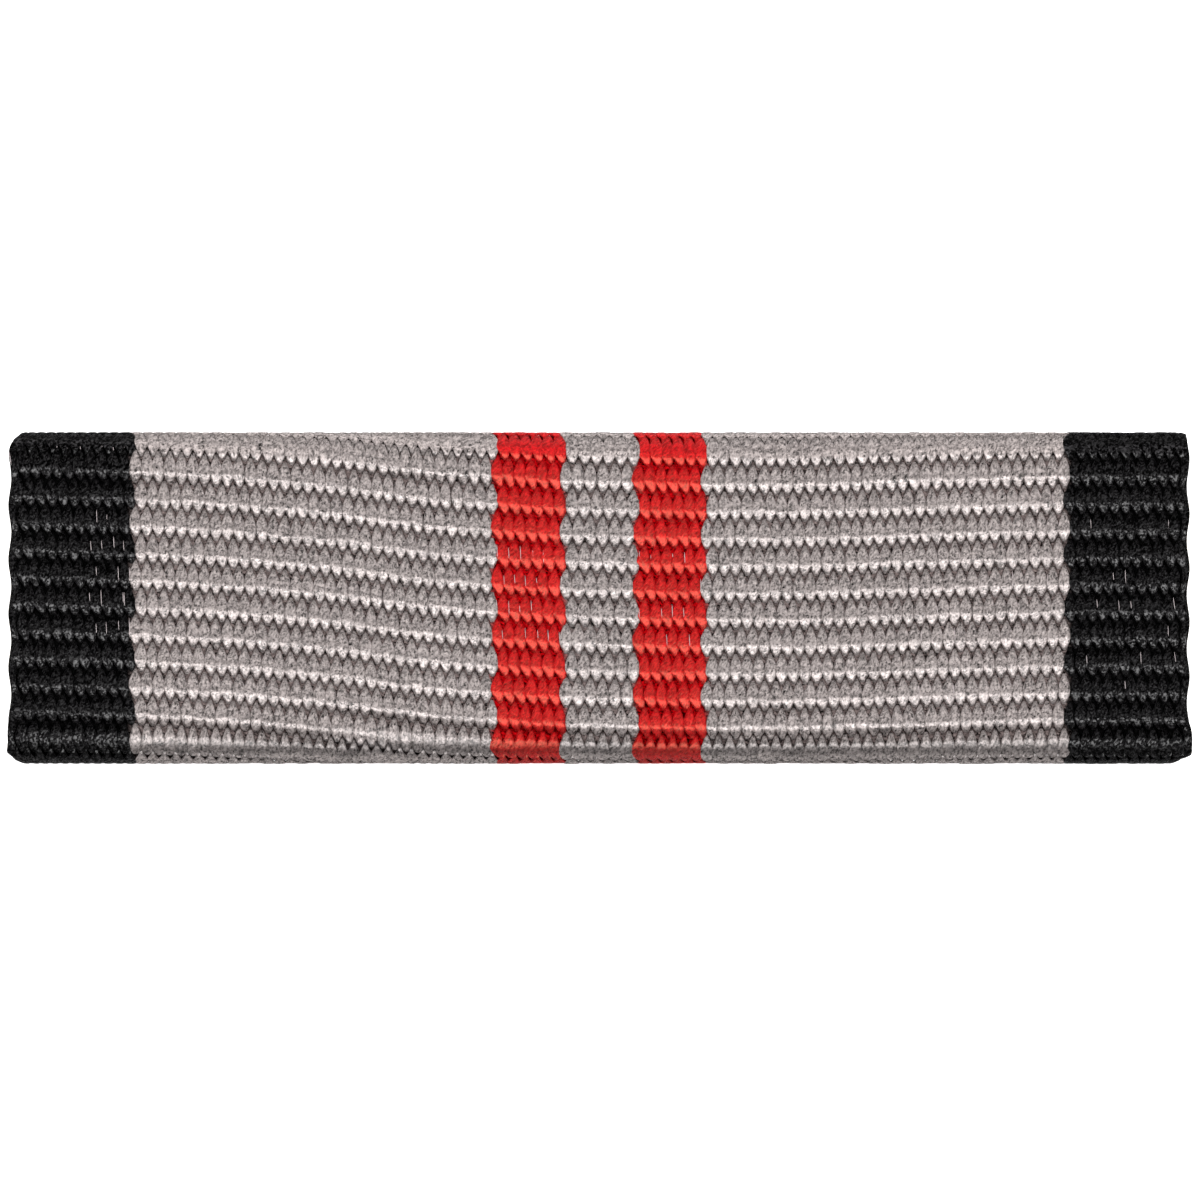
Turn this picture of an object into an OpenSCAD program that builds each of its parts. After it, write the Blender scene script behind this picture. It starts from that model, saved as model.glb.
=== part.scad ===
// A ribbon bar lying on its back: a brass slide plate and the woven ribbon wound round it.
// X runs along the bar, Y to its upper long edge and Z out of its front.
// The origin is under the middle of the bar, on the surface that it lies on.

/* [Slide plate] */
// Height of the plate over its two folds
plate_h = 8.85; // [8:0.05:14]
// Thickness of the brass sheet
plate_t = 0.3; // [0.2:0.05:0.5]
// Clear gap between the plate and its lips, which takes the rail
channel_gap = 0.85; // [0.6:0.05:1.5]
// Depth of each lip from the fold's outer edge to its free edge
lip_d = 3.3; // [3.1:0.05:3.8]
// How far the plate's ends lie inside the selvedges
plate_set_in = 0.12; // [0.1:0.01:0.4]
// Radius that trims the plate's four corners
plate_corner_r = 0.8; // [0.7:0.05:1.2]

/* [Ribbon] */
// Width of the ribbon from selvedge to selvedge, which is the bar's length
ribbon_w = 34.9; // [25:0.1:60]
// Thickness of the cloth over a rib
cloth_t = 0.46; // [0.35:0.01:0.7]
// Distance from one rib to the next
rib_pitch = 0.8; // [0.6:0.01:1]
// How far a rib stands out of the grooves beside it
rib_h = 0.13; // [0.05:0.01:0.2]
// How far the flaps on the back end short of the lips' free edges, to the nearest groove
flap_set_in = 0.9; // [0.5:0.05:1.2]
// Width over which each selvedge thins to its edge
selvedge_w = 0.3; // [0.2:0.05:0.6]
// Share of the cloth's thickness left at the very edge of a selvedge
selvedge_share = 0.8; // [0.4:0.05:0.9]
// How far a selvedge swings out and in from one rib to the next
selvedge_wave = 0.06; // [0:0.01:0.1]
// How far the cloth is drawn in at the folds: upper left, upper right, lower left, lower right
corner_in = [0.42, 0.18, 0.30, 0.38]; // [0:0.01:0.8]

/* [Clearances] */
// Gap between the cloth and the plate
cloth_gap = 0.02; // [0.02:0.01:0.05]

/* [Hidden] */

brass_colour = [0.80, 0.63, 0.33];
cloth_colour = [0.62, 0.59, 0.58];

// Outer radius of the plate's folds, and half of the straight run between them
fold_r = plate_t + channel_gap / 2;
half_flat = plate_h / 2 - fold_r;
// Height of the folds' axes
axis_z = cloth_t + cloth_gap + fold_r;
// Radius of the middle of the cloth at a fold, and its length round half a turn
mid_r = fold_r + cloth_gap + cloth_t / 2;
fold_len = PI * mid_r;
plate_l = ribbon_w - 2 * plate_set_in;

// How far the ribs drop along the ribbon's width, which the slack weft gives:
// [share of ribbon_w from the middle, share of rib_pitch]
sag_table = [
    [-0.50, -0.16],
    [-0.38, 0.00],
    [-0.30, 0.20],
    [-0.22, 0.52],
    [-0.14, 1.00],
    [-0.04, 1.30],
    [0.06, 1.43],
    [0.17, 1.45],
    [0.29, 1.28],
    [0.39, 1.16],
    [0.50, 1.16]
];
// The drop at which the cut ends lie at flap_set_in
sag_middle = 0.3;

// One rib across: [share of rib_pitch from its lower groove, share of rib_h]
rib_profile = [
    [0.00, 0.0],
    [0.15, 0.6],
    [0.34, 1.0],
    [0.66, 1.0],
    [0.85, 0.6]
];

// How a fold draws the selvedge in: [degrees round the fold, share of corner_in]
draw_in_table = [
    [0, 0.0],
    [36, 0.0],
    [50, 0.12],
    [58, 0.28],
    [66, 0.52],
    [75, 0.82],
    [90, 1.0],
    [130, 0.8],
    [180, 0.4]
];

// Length of the cloth from the front's middle to a flap's end, and the ribs that it holds
half_len = half_flat + fold_len + (lip_d - flap_set_in - axis_z);
ribs_each_way = round(half_len / rib_pitch);

// Distances along the cloth of every row of points, and how high the row stands
rows = concat(
    [for (i = [-ribs_each_way:ribs_each_way - 1], p = rib_profile)
        [(i + p[0]) * rib_pitch, p[1]]],
    [[ribs_each_way * rib_pitch, 0]]
);

// Places of the columns of points across the ribbon, as shares of its width
selvedge_in = 0.5 - selvedge_w / ribbon_w;
columns = concat(
    [-0.5, -selvedge_in],
    [for (i = [1:len(sag_table) - 2]) sag_table[i][0]],
    [selvedge_in, 0.5]
);

// The distance along the cloth of a point of a row, which drops with the weft
function along(u, share) = u - (lookup(share, sag_table) - sag_middle) * rib_pitch;

// The Y and Z of a point s along the cloth from the front's middle, and h out of its inner face
function wrapped(s, h) =
    let (side = sign(s), d = abs(s), r = fold_r + cloth_gap + h)
    d <= half_flat ? [s, axis_z + r] :
    d <= half_flat + fold_len ?
        let (a = (d - half_flat) / mid_r * 180 / PI)
        [side * (half_flat + r * sin(a)), axis_z + r * cos(a)] :
    [side * (2 * half_flat + fold_len - d), axis_z - r];

// How far the cloth is drawn in beside a selvedge at s along it
function drawn_in(s, share) =
    let (i = (s < 0 ? 2 : 0) + (share > 0 ? 1 : 0))
    corner_in[i] * lookup((abs(s) - half_flat) / mid_r * 180 / PI, draw_in_table);

// The X of a point. Only the two columns beside each selvedge are drawn in and swing.
function across(s, u, share) =
    abs(share) < selvedge_in - 0.0001 ? share * ribbon_w :
    share * ribbon_w
        - sign(share) * drawn_in(s, share)
        + selvedge_wave * cos(180 * u / rib_pitch);

// A point of the cloth on its outer face, with face 1, or its inner face, with face 0
function cloth_point(row, share, face) =
    let (
        s = along(row[0], share),
        thinned = abs(share) == 0.5 ? selvedge_share : 1,
        h = face * (cloth_t - rib_h * (1 - row[1])) * thinned,
        yz = wrapped(s, h)
    )
    [across(s, row[0], share), yz[0], yz[1]];

// Two triangles between four points in order
function quad(a, b, c, d) = [[a, b, c], [a, c, d]];

module slide_plate() {
    color(brass_colour)
    intersection() {
        translate([-plate_l / 2, 0, axis_z])
        rotate([90, 0, 90])
        linear_extrude(plate_l)
        channel_section();

        plate_outline();
    }
}

// The folded sheet seen from its end, with the folds' axes at height 0
module channel_section() {
    translate([-half_flat, channel_gap / 2])
    square([2 * half_flat, plate_t]);
    for (side = [-1, 1]) {
        fold_section(side);
        translate([side > 0 ? plate_h / 2 - lip_d : -half_flat, -fold_r])
        square([lip_d - fold_r, plate_t]);
    }
}

// Half a ring that joins the plate to the lip on one side
module fold_section(side) {
    translate([side * half_flat, 0])
    intersection() {
        difference() {
            circle(r = fold_r, $fn = 64);
            circle(r = channel_gap / 2, $fn = 64);
        }
        translate([side > 0 ? 0 : -fold_r, -fold_r])
        square([fold_r, 2 * fold_r]);
    }
}

// A slab with four rounded corners, which trims the plate seen from the front
module plate_outline() {
    reach = 2 * axis_z;
    in_x = plate_l / 2 - plate_corner_r;
    in_y = plate_h / 2 - plate_corner_r;
    translate([-in_x, -plate_h / 2, 0])
    cube([2 * in_x, plate_h, reach]);
    translate([-plate_l / 2, -in_y, 0])
    cube([plate_l, 2 * in_y, reach]);
    for (x = [-in_x, in_x], y = [-in_y, in_y])
        translate([x, y, 0])
        cylinder(r = plate_corner_r, h = reach, $fn = 64);
}

module ribbon() {
    n = len(rows);
    m = len(columns);
    function outer(i, j) = i * m + j;
    function inner(i, j) = n * m + i * m + j;
    points = [for (face = [1, 0], row = rows, share = columns) cloth_point(row, share, face)];
    faces = concat(
        [for (i = [0:n - 2], j = [0:m - 2])
            each quad(outer(i, j), outer(i + 1, j), outer(i + 1, j + 1), outer(i, j + 1))],
        [for (i = [0:n - 2], j = [0:m - 2])
            each quad(inner(i, j), inner(i, j + 1), inner(i + 1, j + 1), inner(i + 1, j))],
        [for (i = [0:n - 2])
            each quad(outer(i, 0), inner(i, 0), inner(i + 1, 0), outer(i + 1, 0))],
        [for (i = [0:n - 2])
            each quad(outer(i, m - 1), outer(i + 1, m - 1), inner(i + 1, m - 1), inner(i, m - 1))],
        [for (j = [0:m - 2])
            each quad(outer(0, j), outer(0, j + 1), inner(0, j + 1), inner(0, j))],
        [for (j = [0:m - 2])
            each quad(outer(n - 1, j), inner(n - 1, j), inner(n - 1, j + 1), outer(n - 1, j + 1))]
    );
    color(cloth_colour)
    polyhedron(points, faces);
}

slide_plate();
ribbon();
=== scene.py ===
import math
import bpy
import numpy as np
from bpy.props import FloatProperty, FloatVectorProperty, IntProperty, PointerProperty
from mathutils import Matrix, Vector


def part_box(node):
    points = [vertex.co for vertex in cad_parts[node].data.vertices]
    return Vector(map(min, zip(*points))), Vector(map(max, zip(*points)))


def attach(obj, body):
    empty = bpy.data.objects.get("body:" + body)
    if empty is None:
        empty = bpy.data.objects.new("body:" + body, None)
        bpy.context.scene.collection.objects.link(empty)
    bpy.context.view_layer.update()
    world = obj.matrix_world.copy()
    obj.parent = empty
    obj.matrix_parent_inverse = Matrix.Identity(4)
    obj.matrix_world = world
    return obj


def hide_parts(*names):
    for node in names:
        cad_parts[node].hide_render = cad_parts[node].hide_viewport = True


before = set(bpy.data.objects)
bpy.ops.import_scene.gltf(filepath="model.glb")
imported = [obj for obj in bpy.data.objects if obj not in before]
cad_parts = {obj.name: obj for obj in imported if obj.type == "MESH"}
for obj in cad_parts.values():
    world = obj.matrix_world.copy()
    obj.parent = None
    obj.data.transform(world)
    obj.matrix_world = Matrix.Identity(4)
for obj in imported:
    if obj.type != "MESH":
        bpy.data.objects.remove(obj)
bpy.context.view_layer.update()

bl_info = {
    "name": "Ribbon bar",
    "version": (1, 0, 0),
    "blender": (4, 5, 0),
    "location": "3D View > Sidebar > Ribbon bar",
    "description": "Weaves the ribbon of a medal ribbon bar over its brass plate and lights it",
    "category": "Object",
}

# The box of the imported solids, and the plate and the cloth that the new pieces are wrapped on
PLATE_LOW, PLATE_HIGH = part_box("slide_plate")
CLOTH_LOW, CLOTH_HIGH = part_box("ribbon")

MM = 0.001
CLOTH_GAP = 0.02 * MM
SELVEDGE_WAVE = 0.06 * MM
FOLD_R = (PLATE_HIGH[2] - PLATE_LOW[2]) / 2
HALF_FLAT = (PLATE_HIGH[1] - PLATE_LOW[1]) / 2 - FOLD_R
AXIS_Z = (PLATE_HIGH[2] + PLATE_LOW[2]) / 2
CLOTH_T = (CLOTH_HIGH[2] - CLOTH_LOW[2]) / 2 - FOLD_R - CLOTH_GAP
RIBBON_W = CLOTH_HIGH[0] - CLOTH_LOW[0] - 2 * SELVEDGE_WAVE
MID_R = FOLD_R + CLOTH_GAP + CLOTH_T / 2
FOLD_LEN = math.pi * MID_R

# How far the ribs drop along the ribbon's width: [share of the width, share of the rib pitch]
SAG_TABLE = (
    (-0.50, -0.16),
    (-0.38, 0.00),
    (-0.30, 0.20),
    (-0.22, 0.52),
    (-0.14, 1.00),
    (-0.04, 1.30),
    (0.06, 1.43),
    (0.17, 1.45),
    (0.29, 1.28),
    (0.39, 1.16),
    (0.50, 1.16),
)
SAG_MIDDLE = 0.3

# How the folds draw the selvedges in: [degrees round the fold, share of the corner's own drawing in at the
# lower fold and at the upper fold]. Below 0 they spread.
DRAW_IN_TABLE = (
    (0, 0.0, 0.0),
    (14, -0.15, 0.0),
    (25, -0.24, 0.0),
    (36, -0.30, 0.0),
    (47, -0.32, 0.10),
    (54, -0.24, 0.22),
    (61, 0.05, 0.40),
    (68, 0.30, 0.61),
    (75, 0.55, 0.82),
    (90, 1.0, 1.0),
    (130, 0.8, 0.8),
    (180, 0.4, 0.4),
)
# Drawing in at the corners in mm: [lower or upper][left or right]
CORNER_IN = ((0.32, 0.40), (0.30, 0.06))
# How far in from a selvedge the cloth thins, is drawn in and swings, and the share of it left at the edge
THIN_W, DRAWN_W, SWUNG_W = 0.15 * MM, 2.4 * MM, 0.9 * MM
SELVEDGE_SHARE = 0.92
# The yarns' share of the selvedge's swing, and the sine of the turn from which and over which a fold
# holds it straight
SWING_SHARE, HELD_FROM, HELD_OVER = 0.7, 0.45, 0.4

# The bands of the warp: [piece, ends, colour, material slot, lean of the floats as a share of a float,
# distance between ends as a share of the mean]
BANDS = (
    ("black_warp_left", 22, "black", "black_cloth", 0.14, 0.976),
    ("grey_warp_left", 63, "grey", "grey_cloth", 0.03, 1.005),
    ("red_warp_left", 12, "red", "red_cloth", 0.20, 0.990),
    ("grey_warp_centre", 12, "grey", "grey_cloth", 0.03, 1.073),
    ("red_warp_right", 12, "red", "red_cloth", 0.20, 0.981),
    ("grey_warp_right", 63, "grey", "grey_cloth", 0.03, 1.007),
    ("black_warp_right", 22, "black", "black_cloth", 0.14, 0.964),
)
ENDS = sum(band[1] for band in BANDS)

# One float along the ribbon, from the stretch under the rib below to that under the rib above:
# [share of the rib pitch from its crest, height, width, thickness, painted light share], where height, width
# and thickness are shares of the cloth's swing, of the room for a float and of a yarn's thickness. The
# painted light share is painted shade in the yarn's colour: 1 leaves the colour as it is and 0 darkens it
# most, in the grooves and under the row above, and a dip paints a dark line just above the teeth.
FLOAT_TABLE = (
    (-1.00, -1.00, 0.80, 1.00, 0.00),
    (-0.84, -0.88, 0.64, 1.00, 0.00),
    (-0.68, -0.42, 0.44, 1.10, 0.00),
    (-0.58, 0.00, 0.36, 1.20, 0.40),
    (-0.50, 0.30, 0.45, 1.30, 0.85),
    (-0.44, 0.44, 0.60, 1.35, 1.00),
    (-0.37, 0.59, 0.78, 1.30, 1.00),
    (-0.30, 0.74, 0.94, 1.20, 1.00),
    (-0.23, 0.87, 1.07, 1.10, 1.00),
    (-0.16, 0.965, 1.15, 1.03, 0.95),
    (-0.10, 1.00, 1.18, 1.00, 0.70),
    (-0.03, 1.00, 1.16, 1.00, 0.46),
    (0.08, 0.985, 1.10, 1.00, 0.66),
    (0.19, 0.94, 0.96, 1.00, 0.60),
    (0.29, 0.85, 0.76, 1.00, 0.54),
    (0.39, 0.65, 0.55, 1.03, 0.42),
    (0.50, 0.30, 0.36, 1.06, 0.24),
    (0.60, -0.06, 0.36, 1.10, 0.10),
    (0.72, -0.50, 0.40, 1.10, 0.00),
    (1.00, -1.00, 0.80, 1.00, 0.00),
)
# The height in the table at which neighbouring ends cross, halfway between two ribs
CROSSING = 0.30
# How far a leaning float is pushed sideways along it: [share of the rib pitch from its crest, share]
LEAN_TABLE = (
    (-1.00, 0.0),
    (-0.72, 0.4),
    (-0.50, 1.0),
    (-0.30, 0.35),
    (-0.10, -0.55),
    (0.10, -0.35),
    (0.50, 0.0),
    (1.00, 0.0),
)
# A yarn cut across: [share of its width, share of its thickness], flat where yarns lie side by side
SECTION = (
    (-0.50, -0.02),
    (-0.44, 0.36),
    (-0.22, 0.50),
    (0.22, 0.50),
    (0.44, 0.36),
    (0.50, -0.02),
    (0.28, -0.42),
    (-0.28, -0.42),
)
# How far the lower and the upper fold draw the floats tight, which fills the grooves between the ribs,
# and the degrees round the fold over which it comes on
FOLD_TIGHTNESS = (0.82, 0.94)
TIGHT_FROM, TIGHT_TO = 12, 44
# Painted shade on the floats of the lower fold: [degrees round the fold, share], which is below 0 where it
# paints the light that the surface the bar lies on throws back onto them
LOWER_FOLD_PAINTED_SHADE = ((24, 0.0), (31, 0.85), (45, 0.85), (54, 0.0), (61, -1.5), (100, -1.5), (120, 0.0))
# How much deeper the grooves open where a fold begins, how long before it and over what length they open,
# and the degrees round the fold from which and over which they close again
GROOVE_OPENING = 0.5
OPEN_BEFORE, OPEN_OVER = 0.55 * MM, 0.5 * MM
CLOSE_FROM, CLOSE_OVER = 18, 16
# How far the floats rise and widen where a fold draws them tight, and the heights in the table from which
# and over which it fills the grooves
FOLD_RISE, FOLD_SPREAD = 0.02 * MM, 0.15
FILL_FROM, FILL_OVER = -0.55, 0.8
# How far floats differ by chance: sideways, in width, height and lean, and along the ribbon
PUSH, GIRTH, LIFT, SLANT, SLIP = 0.010 * MM, 0.05, 0.008 * MM, 0.03, 0.024 * MM
# The chance lift that leaves a float's height as it is, and the outermost ends' share of a float's room
LEVEL_LIFT, OUTERMOST_WIDTH = 0.8, 0.8

# The weft's colour where it shows between the yarns of each band, darkened to a painted shade for the pits
GROUND_PIT_SHADES = {"grey": (0.078, 0.061, 0.058), "red": (0.20, 0.001, 0.002), "black": (0.001, 0.001, 0.001)}

# Where clear filaments lie beside the floats, with a glint painted into their pale colour: [first end, last
# end, lowest rib, highest rib, share of the floats, start and end along the float as shares of the pitch
# from its crest]
GLINTS = (
    (85, 96, -1, 2, 0.6, 0.26, -0.14),
    (109, 120, -1, 2, 0.6, 0.26, -0.14),
    (14, 21, -2, 2, 0.6, 0.30, -0.14),
    (184, 204, -3, 3, 0.16, 0.30, -0.10),
    (7, 20, 5, 5, 0.9, -0.36, -0.44),
    (20, 84, -4, 4, 0.02, 0.24, -0.18),
    (121, 184, -4, 4, 0.02, 0.24, -0.18),
)


class RibbonBarCloth(bpy.types.PropertyGroup):
    rib_pitch: FloatProperty(
        name="Rib pitch",
        description="Distance from one rib of the cloth to the next",
        default=0.0008,
        min=0.0004,
        max=0.002,
        precision=6,
        unit="LENGTH",
    )
    ribs_each_way: IntProperty(
        name="Ribs each way",
        description="Ribs from the middle of the front to each cut end on the back",
        default=10,
        min=6,
        max=14,
    )
    yarn_thickness: FloatProperty(
        name="Yarn thickness",
        description="Thickness of one warp yarn over a rib",
        default=0.000085,
        min=0.00004,
        max=0.0002,
        precision=6,
        unit="LENGTH",
    )
    unevenness: FloatProperty(
        name="Unevenness",
        description="How much the floats differ from each other, from 0 to 1",
        default=1.0,
        min=0.0,
        max=2.0,
        subtype="FACTOR",
    )
    seed: IntProperty(
        name="Seed",
        description="Start of the random numbers behind the unevenness",
        default=7,
        min=0,
    )


class RibbonBarColours(bpy.types.PropertyGroup):
    grey: FloatVectorProperty(
        name="Grey yarn",
        description="Colour of the ribbon's field",
        default=(0.328, 0.286, 0.276),
        min=0.0,
        max=1.0,
        size=3,
        subtype="COLOR",
    )
    red: FloatVectorProperty(
        name="Red yarn",
        description="Colour of the two narrow bands",
        default=(0.475, 0.005, 0.009),
        min=0.0,
        max=1.0,
        size=3,
        subtype="COLOR",
    )
    black: FloatVectorProperty(
        name="Black yarn",
        description="Colour of the bands along the selvedges",
        default=(0.0085, 0.008, 0.0085),
        min=0.0,
        max=1.0,
        size=3,
        subtype="COLOR",
    )
    brass: FloatVectorProperty(
        name="Brass",
        description="Colour of the slide plate",
        default=(0.92, 0.68, 0.30),
        min=0.0,
        max=1.0,
        size=3,
        subtype="COLOR",
    )


class RibbonBarStage(bpy.types.PropertyGroup):
    camera_distance: FloatProperty(
        name="Camera distance",
        description="Distance from the camera to the front of the bar",
        default=0.6,
        min=0.1,
        max=2.0,
        unit="LENGTH",
    )
    camera_tilt: FloatProperty(
        name="Camera tilt",
        description="Angle of the camera from straight above, towards the picture's bottom",
        default=math.radians(0.5),
        min=0.0,
        max=math.radians(60),
        subtype="ANGLE",
    )
    frame_width: FloatProperty(
        name="Frame width",
        description="Width of the picture at the front of the bar",
        default=0.03552,
        min=0.01,
        max=0.2,
        precision=5,
        unit="LENGTH",
    )
    gloss: FloatProperty(
        name="Gloss light",
        description="Brightness of the softbox towards the picture's bottom, which the floats mirror",
        default=5.0,
        min=0.0,
    )
    window: FloatProperty(
        name="Window light",
        description="Brightness of the softbox towards the picture's top",
        default=5.0,
        min=0.0,
    )
    ceiling: FloatProperty(
        name="Ceiling light",
        description="Brightness of the large soft light straight overhead",
        default=0.38,
        min=0.0,
    )
    glow: FloatProperty(
        name="Floor glow",
        description="Brightness of the light table under the bar",
        default=0.9,
        min=0.0,
    )
    room: FloatProperty(
        name="Room light",
        description="Brightness of the white room around the stage",
        default=0.16,
        min=0.0,
    )


# Wrapping the flat cloth on the plate


def sag(share):
    """How far a rib has dropped at a share of the ribbon's width, as a smooth curve through the table."""
    places, drops = np.array(SAG_TABLE).T
    fine = np.linspace(-0.6, 0.6, 481)
    # Steps each way that are averaged to round the table's corners
    reach = 15
    window = np.hanning(2 * reach + 1)
    curve = np.convolve(np.interp(fine, places, drops), window / window.sum(), mode="same")
    return np.interp(share, fine[reach:-reach], curve[reach:-reach])


def drawn_in(s, x):
    """How far the cloth is drawn in at s along it, beside the selvedge nearest to x."""
    degrees, lower, upper = np.array(DRAW_IN_TABLE).T
    turned = np.degrees(turn_at(s))
    corner = (np.array(CORNER_IN) * MM)[(s > 0).astype(int), (x > 0).astype(int)]
    return corner * np.where(s > 0, np.interp(turned, degrees, upper), np.interp(turned, degrees, lower))


def place_along(x, u, pitch):
    """How far a point of the cloth is from the front's middle, along the ribbon."""
    return u - (sag(x / RIBBON_W) - SAG_MIDDLE) * pitch


def turn_at(s):
    """The angle round the nearer fold at s along the ribbon, up to half a turn on the back."""
    return np.clip((np.abs(s) - HALF_FLAT) / MID_R, 0, math.pi)


def smooth(share):
    """Eases a share from 0 to 1 in and out."""
    share = np.clip(share, 0, 1)
    return share * share * (3 - 2 * share)


def tightness_at(s):
    """How far the fold draws the floats tight at s along the ribbon, on either side of its outer edge."""
    from_flat = np.degrees(np.minimum(turn_at(s), math.pi - turn_at(s)))
    most = np.where(s < 0, *FOLD_TIGHTNESS)
    return most * smooth((from_flat - TIGHT_FROM) / (TIGHT_TO - TIGHT_FROM))


def painted_fold_shade_at(s):
    """The painted shade of the lower fold at s along the ribbon, which is painted light where it is below 0.
    """
    return np.interp(np.degrees(turn_at(s)) * (s < 0), *np.array(LOWER_FOLD_PAINTED_SHADE).T)


def float_height(share, s):
    """A height in FLOAT_TABLE as it is at s: deeper where a fold begins, and raised round the fold."""
    begun = smooth((np.abs(s) - HALF_FLAT + OPEN_BEFORE) / OPEN_OVER)
    opened = GROOVE_OPENING * begun * (1 - smooth((np.degrees(turn_at(s)) - CLOSE_FROM) / CLOSE_OVER))
    raised = tightness_at(s) * smooth((share - FILL_FROM) / FILL_OVER)
    return 1 - (1 - share) * (1 + opened - raised)


def spread(x):
    """Moves evenly spaced ends to the spacing of their own bands."""
    ends = np.array([band[1] for band in BANDS])
    spaced = ends * np.array([band[5] for band in BANDS])
    even = np.concatenate(([0], np.cumsum(ends))) / ends.sum() - 0.5
    place = np.concatenate(([0], np.cumsum(spaced))) / spaced.sum() - 0.5
    return np.interp(x / RIBBON_W, even, place) * RIBBON_W


def wrap(flat, pitch):
    """Points (across, along, out of the inner face) of the flat cloth as points on the plate."""
    x, u, h = flat.T
    x = spread(x)
    side = np.sign(x)
    inside = np.maximum(RIBBON_W / 2 - np.abs(x), 0)
    s = place_along(x, u, pitch)
    thinned = SELVEDGE_SHARE + (1 - SELVEDGE_SHARE) * np.minimum(inside / THIN_W, 1)
    r = FOLD_R + CLOTH_GAP + h * thinned
    d = np.abs(s)
    turn = turn_at(s)
    past = np.maximum(d - HALF_FLAT - FOLD_LEN, 0)
    reach = np.minimum(d, HALF_FLAT) + r * np.sin(turn) - past
    pull = drawn_in(s, x) * np.maximum(1 - inside / DRAWN_W, 0) ** 2
    flatness = 1 - smooth((np.sin(turn) - HELD_FROM) / HELD_OVER)
    wave = SWING_SHARE * SELVEDGE_WAVE * np.cos(math.pi * u / pitch)
    swing = wave * np.maximum(1 - inside / SWUNG_W, 0) * flatness
    return np.column_stack((
        x - side * pull + swing,
        np.sign(s) * reach,
        AXIS_Z + r * np.cos(turn),
    ))


# Modelling helpers


def only(piece):
    """Selects one object and nothing else."""
    bpy.ops.object.select_all(action="DESELECT")
    piece.select_set(True)
    bpy.context.view_layer.objects.active = piece


def numbers_of(items, key, kind=np.int32, each=1):
    """One property of all the vertices, corners or faces of a mesh as an array."""
    numbers = np.empty(len(items) * each, dtype=kind)
    items.foreach_get(key, numbers)
    return numbers


def vertices_of(piece):
    """The vertices of a mesh object as an array."""
    return numbers_of(piece.data.vertices, "co", float, 3).reshape(-1, 3)


def place_vertices(piece, points):
    """Sets the vertices of a mesh object from an array."""
    piece.data.vertices.foreach_set("co", points.ravel())
    piece.data.update()


def give_numbers(piece, name, values):
    """Gives each vertex of a piece one number under a name."""
    layer = piece.data.attributes.new(name, "FLOAT", "POINT")
    layer.data.foreach_set("value", np.asarray(values, dtype=np.float32))


def lay_map(piece, name, places):
    """Adds a UV map to a piece from a place for each corner of its faces."""
    laid = piece.data.uv_layers.new(name=name)
    laid.data.foreach_set("uv", places.ravel())


def repeat(piece, count, offset):
    """Repeats a piece in a row with an Array modifier and applies it."""
    if count < 2:
        return
    array = piece.modifiers.new("Row", "ARRAY")
    array.count = count
    array.use_relative_offset = False
    array.use_constant_offset = True
    array.constant_offset_displace = offset
    only(piece)
    bpy.ops.object.modifier_apply(modifier=array.name)


# How near vertices lie that are one vertex
SAME_PLACE = 0.002 * MM


def close_tubes(piece):
    """Joins the repeats of a piece of tubes and closes their cut ends."""
    only(piece)
    bpy.ops.object.mode_set(mode="EDIT")
    bpy.ops.mesh.select_all(action="SELECT")
    bpy.ops.mesh.remove_doubles(threshold=SAME_PLACE)
    bpy.ops.mesh.select_all(action="SELECT")
    bpy.ops.mesh.fill_holes(sides=len(SECTION))
    bpy.ops.mesh.select_all(action="SELECT")
    bpy.ops.mesh.normals_make_consistent(inside=False)
    bpy.ops.object.mode_set(mode="OBJECT")


def finish_piece(piece, material):
    """Shades a piece of the ribbon smooth, gives it its material and its body, and hides the imported ribbon
    that it stands for.
    """
    only(piece)
    bpy.ops.object.shade_smooth()
    piece.data.materials.clear()
    piece.data.materials.append(material)
    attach(piece, "root")
    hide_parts("ribbon")


# Yarn


def stations(pitch, over_first):
    """The rings of one repeat of a warp yarn, over one rib and under the next: [place along, height,
    width, thickness]."""
    crest = 0.5 if over_first else 1.5
    rings = set()
    for place, *shares, _ in FLOAT_TABLE:
        for turn in (-2, 0, 2):
            at = round(crest + place + turn, 6)
            if 0 <= at <= 2:
                rings.add((at * pitch, *shares))
    return sorted(rings)


def model_repeat(name, pitch, over_first, room, swing, middle, thickness):
    """Models one repeat of a warp yarn from a ring of vertices, extruded from station to station."""
    rings = stations(pitch, over_first)
    bpy.ops.object.select_all(action="DESELECT")
    bpy.ops.mesh.primitive_circle_add(
        vertices=len(SECTION), radius=0.5, fill_type="NOTHING", location=(0, 0, 0)
    )
    piece = bpy.context.object
    piece.name = name
    piece.data.name = name
    place_vertices(piece, np.array([(across, 0, out) for across, out in SECTION]))
    bpy.ops.object.mode_set(mode="EDIT")
    bpy.ops.mesh.select_all(action="SELECT")
    last = (0.0, 0.0, 1.0, 1.0)
    for number, (at, height, width, thick) in enumerate(rings):
        now = (at, middle + height * swing, width * room, thick * thickness)
        move = (0, now[0] - last[0], now[1] - last[1])
        if number:
            bpy.ops.mesh.extrude_region_move(TRANSFORM_OT_translate={"value": move})
        else:
            bpy.ops.transform.translate(value=move)
        bpy.ops.transform.resize(
            value=(now[2] / last[2], 1, now[3] / last[3]),
            center_override=(0, now[0], now[1]),
        )
        last = now
    bpy.ops.mesh.select_all(action="SELECT")
    bpy.ops.mesh.normals_make_consistent(inside=False)
    bpy.ops.object.mode_set(mode="OBJECT")
    return piece


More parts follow.
